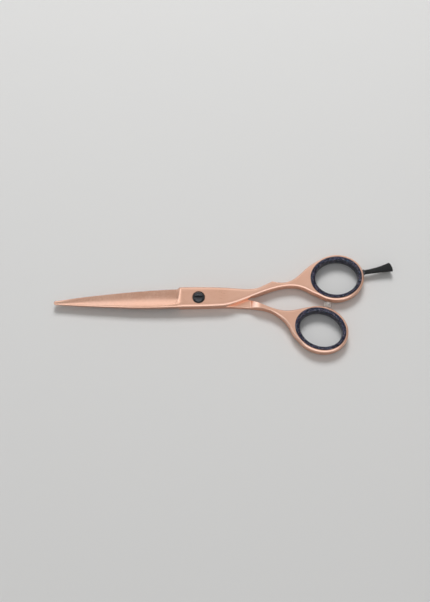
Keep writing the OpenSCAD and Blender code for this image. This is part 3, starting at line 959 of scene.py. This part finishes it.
make_nut()
turned_ring("ride_washer_moulded", SHOULDER_R + 0.1, RIDE_WASHER_R, RIDE_WASHER_Z, RIDE_Z, 0.06,
            polymer, "thumb_side", "washer_polymer", "ride_washer")
turned_ring("pivot_bush_turned", SHOULDER_R + RUN_CLEAR, BUSH_R - 0.01, RIDE_Z, BUSH_TOP, 0.12,
            bronze, "finger_side", "bush_bronze", "pivot_bush")
make_wave_washer()
turned_ring("head_washer_turned", SHOULDER_R + 0.05, WASHER_R, WASHER_Z, WASHER_Z + WASHER_T, 0.1,
            black, "finger_side", "black_steel", "head_washer")
make_screw()

# ---------------------------------------------------------------- ring inserts


SHANK_FLANGE = 0.5   # how much wider an insert's flange is on the shank's side
FLAKE_COUNT = 380
FLAKE_SIZES = (0.06, 0.15)  # from a flake's centre to its corners, smallest and largest
FLAKE_T = 0.02
FLAKE_TILT = 0.12    # how far a flake may lean out of the skin
FLAKE_WEIGHTS = (2, 3, 3, 2)


def insert_profile():
    """Outline of an insert's wall: (distance out from the ring's hole, height), a closed loop."""
    lip = RING_HI + 0.01
    top = TOTAL_T - FLAKE_T / 2
    upper = [(0, MID_Z), (0, lip), (FLANGE_W, lip), (FLANGE_W, top - 0.35), (FLANGE_W - 0.3, top),
             (-0.4, top), (-0.7 * INSERT_T, top - 0.35), (-0.9 * INSERT_T, top - 1.3),
             (-INSERT_T, MID_Z)]
    lower = [(out, TOTAL_T - z) for out, z in upper[-2:0:-1]]
    return [(out - 0.01, z) if out == 0 else (out, z) for out, z in upper + lower]


def make_insert(name, half, place, body, node):
    """A flanged sleeve that swells towards the finger, with its corners rounded."""
    loop = np.array(rounded(insert_profile(), 0.28, 5))
    around = 200
    angles = np.linspace(0, 360, around, endpoint=False)
    points = []
    for a in angles:
        wider = 1 + SHANK_FLANGE / FLANGE_W * max(0, -math.cos(math.radians(a))) ** 2
        out = np.where(loop[:, 0] > 0, wider, 1) * loop[:, 0]
        xy = oval(half["ring"], np.full(len(loop), a), out - RING_W)
        points += [(x, y, z) for (x, y), z in zip(xy, loop[:, 1])]
    faces = rings_to_faces(around, len(loop), True)
    piece = make_mesh(name, placed(points, place), faces, [resin], smooth=45)
    return show(piece, body, "glitter_insert", node)


def make_flakes(name, insert, seed, body):
    """Small hexagonal flakes that lie in an insert's skin, spread evenly over all of its faces."""
    pick = random.Random(seed)
    mesh = insert.data
    mesh.calc_loop_triangles()
    shown, areas = [], []
    for t in mesh.loop_triangles:
        corners = [mesh.vertices[i].co for i in t.vertices]
        shown.append((corners, Vector(t.normal)))
        areas.append(t.area)
    points, faces, slots = [], [], []
    for corners, normal in pick.choices(shown, weights=areas, k=FLAKE_COUNT):
        a, b = sorted((pick.random(), pick.random()))
        centre = (corners[0] * a + corners[1] * (b - a) + corners[2] * (1 - b)) / MM
        tilt = Vector((pick.uniform(-1, 1), pick.uniform(-1, 1), pick.uniform(-1, 1))) * FLAKE_TILT
        up = (normal + tilt).normalized()
        across = up.orthogonal().normalized()
        beside = up.cross(across)
        size = pick.uniform(*FLAKE_SIZES)
        spin = pick.uniform(0, math.pi / 3)
        start = len(points)
        for level in (-FLAKE_T, 0.4 * FLAKE_T):
            for k in range(6):
                t = spin + k * math.pi / 3
                p = centre + up * level + (across * math.cos(t) + beside * math.sin(t)) * size
                points.append((p.x, p.y, min(max(p.z, 0), TOTAL_T)))
        faces += [[start + i for i in f] for f in rings_to_faces(2, 6)]
        faces += [[start + k for k in range(6)], [start + 11 - k for k in range(6)]]
        slots += [pick.choices(range(len(FLAKES)), weights=FLAKE_WEIGHTS)[0]] * 8
    piece = make_mesh(name, points, faces, FLAKES, slots, smooth=20)
    return show(piece, body, "glitter_insert")


finger_insert = make_insert("finger_insert_moulded", FINGER, AS_DRAWN, "finger_side", "finger_ring_insert")
thumb_insert = make_insert("thumb_insert_moulded", THUMB, TURNED_OVER, "thumb_side", "thumb_ring_insert")
make_flakes("finger_insert_glitter", finger_insert, 11, "finger_side")
make_flakes("thumb_insert_glitter", thumb_insert, 12, "thumb_side")

# ---------------------------------------------------------------- bumper and finger rest


def make_bumper():
    """A soft ball on a stem, with the flash line of its mould."""
    flash = 0.03
    ball = BUMPER_R - flash
    profile = []
    for a in np.linspace(-90, 90, 41):
        t = math.radians(a)
        seam = flash * math.exp(-((a / 2.5) ** 2))
        profile.append(((ball + seam) * math.cos(t), ball * math.sin(t)))
    neck = 0.95 * BUMPER_STEM_R
    top = [(r, z) for r, z in profile if z < 0 or r > neck]
    stem = [(neck, top[-1][1] + 0.02), (neck, BUMPER_STEM - 0.15), (neck - 0.15, BUMPER_STEM),
            (0, BUMPER_STEM)]
    piece = revolve("bumper_moulded", top + stem, [silicone], 96, turned=stem_axis, smooth=60)
    return show(piece, "thumb_side", "clear_rubber", "bumper")


def make_stud():
    """The finger rest's stud: threaded end, round collar, and the core inside the horn."""
    start = 0.3 - RING_W
    collar_end = COLLAR_T - SEAT_DEPTH
    profile = [(0, start), (STUD_R - 0.2, start)]
    profile += thread_line(STUD_R, start + 0.2, -SEAT_DEPTH, 0.12)
    profile += [(COLLAR_R - 0.12, -SEAT_DEPTH), (COLLAR_R, -SEAT_DEPTH + 0.12),
                (COLLAR_R, collar_end - 0.15), (COLLAR_R - 0.15, collar_end), (CORE_R, collar_end),
                (CORE_R, CORE_LENGTH - 0.1), (CORE_R - 0.1, CORE_LENGTH), (0, CORE_LENGTH)]
    piece = revolve("finger_rest_stud_turned", profile, [black], 72, turned=rest_axis)
    return show(piece, "finger_rest", "black_steel", "finger_rest_stud")


HORN_START = (1.15, 1.15)   # half widths across the ring's plane and along the pivot axis
HORN_END = (2.3, 2.35)
HORN_BEND = 0.7             # how far the end has bent aside
HORN_SLANT = 0.3            # how much the end face slants


def make_horn():
    """The rubber horn: an oval that grows along a slightly bent line, with a rounded, dished end."""
    sides, rings = 72, 40
    start = COLLAR_T - SEAT_DEPTH
    # each ring of points: share of the length, and inset from the oval as a share of its size
    stations = [(i / rings, 0.0) for i in range(rings + 1)]
    rim = [(1.0 + 0.012 * math.sin(t), 0.16 * (1 - math.cos(t))) for t in np.linspace(0.2, math.pi / 2, 6)]
    dish = [(1.004, 0.35), (0.992, 0.6), (0.988, 0.85), (0.987, 0.999)]
    lip = [(0.0, 0.10), (0.006, 0.03)]
    points = []
    for along, inset in lip + stations[1:-1] + [(0.99, 0.0)] + rim + dish:
        flare = min(along, 1) ** 2
        ry, rz = (mix(a, b, flare) for a, b in zip(HORN_START, HORN_END))
        for k in range(sides):
            t = 2 * math.pi * k / sides
            y, x = ry * math.sin(t) * (1 - inset), rz * math.cos(t) * (1 - inset)
            z = start + REST_LENGTH * along - HORN_SLANT * flare * y
            points.append((x, y + HORN_BEND * flare, z))
    faces = rings_to_faces(len(points) // sides, sides)
    faces += [list(range(sides)), list(range(len(points) - sides, len(points)))]
    piece = make_mesh("finger_rest_moulded", placed(points, rest_axis), faces, [rubber], smooth=50)
    cut(piece, [cylinder("core_hole", CORE_R, -OVER, CORE_LENGTH, rest_axis)])
    shade(piece.data, 50)
    return show(piece, "finger_rest", "rest_rubber", "finger_rest")


make_bumper()
make_stud()
make_horn()

# ---------------------------------------------------------------- floor, light and camera


FLOOR_SIZE = 6.0
FLOOR_DROP = 0.00002   # keeps the floor out of the plane of the shears' underside


def make_floor():
    half = FLOOR_SIZE / 2
    corners = [(-half, -half, 0), (half, -half, 0), (half, half, 0), (-half, half, 0)]
    mesh = bpy.data.meshes.new("floor")
    mesh.from_pydata(corners, [], [[0, 1, 2, 3]])
    mesh.materials.append(studio_floor())
    floor = bpy.data.objects.new("floor", mesh)
    floor.location.z = -FLOOR_DROP
    bpy.context.scene.collection.objects.link(floor)


def aim(thing, place, target):
    """Puts a lamp or camera into the scene at a place, turned to a target."""
    thing.location = place
    thing.rotation_euler = (Vector(target) - Vector(place)).to_track_quat("-Z", "Y").to_euler()
    bpy.context.scene.collection.objects.link(thing)


def softbox(name, tilt, distance, size, brightness, colour, side, lights):
    """A rectangular light aimed at the origin, tilted from overhead towards +Y and turned to a side.

    It lights only what is matt, or only what is glossy.
    """
    data = bpy.data.lights.new(name, "AREA")
    data.shape = "RECTANGLE"
    data.size, data.size_y = size
    data.energy = brightness * math.pi * size[0] * size[1]
    data.color = colour
    t, a = math.radians(tilt), math.radians(side)
    out = distance * math.sin(t)
    place = (out * math.sin(a), out * math.cos(a), distance * math.cos(t))
    lamp = bpy.data.objects.new(name, data)
    aim(lamp, place, (0, 0, 0))
    lamp.visible_camera = False
    lamp.visible_glossy = lights != "matt"
    lamp.visible_diffuse = lights != "glossy"


def make_camera():
    """The photograph's view: from in front and high above, looking along +Y."""
    target = Vector((0.008, -0.00086, 0.003))
    elevation = math.radians(70)
    distance = 0.5
    long_side = 0.2956  # what the frame's long side covers at the target
    data = bpy.data.cameras.new("camera")
    data.sensor_width = 36
    data.lens = data.sensor_width * distance / long_side
    data.clip_start = 0.01
    camera = bpy.data.objects.new("camera", data)
    back = Vector((0, -math.cos(elevation), math.sin(elevation)))
    aim(camera, target + back * distance, target)
    bpy.context.scene.camera = camera


def make_world(colour, strength):
    world = bpy.data.worlds.new("studio")
    world.use_nodes = True
    background = world.node_tree.nodes["Background"]
    background.inputs["Color"].default_value = (*colour, 1)
    background.inputs["Strength"].default_value = strength
    bpy.context.scene.world = world


WHITE = (1, 1, 1)
COOL = (0.92, 1.03, 1.16)
# What the steel mirrors: name, tilt, distance, size, brightness, colour, side
CARDS = (
    ("overhead_card", 13, 1.0, (2.2, 0.40), 0.22, WHITE, 0),
    ("back_card", 35.5, 1.0, (1.8, 0.34), 1.05, COOL, 0),
    ("wide_back_card", 60, 1.0, (2.0, 0.25), 0.18, WHITE, 0),
    ("low_back_card", 84, 1.3, (2.2, 0.5), 1.0, COOL, 0),
    ("high_front_card", -14, 1.0, (1.8, 0.5), 0.8, COOL, 0),
    ("front_card", -50, 1.0, (1.8, 0.75), 1.3, COOL, 0),
    ("tip_card", 62, 1.2, (0.7, 0.9), 0.95, COOL, -78),
    ("corner_card", 37, 1.2, (0.5, 0.5), 0.6, COOL, -56),
)

make_floor()
make_world((1.0, 0.985, 0.96), 0.35)
softbox("key", 40, 1.2, (0.5, 0.4), 13, WHITE, 0, "matt")
for card in CARDS:
    softbox(*card, "glossy")
bpy.context.scene.view_settings.view_transform = "Standard"
make_camera()
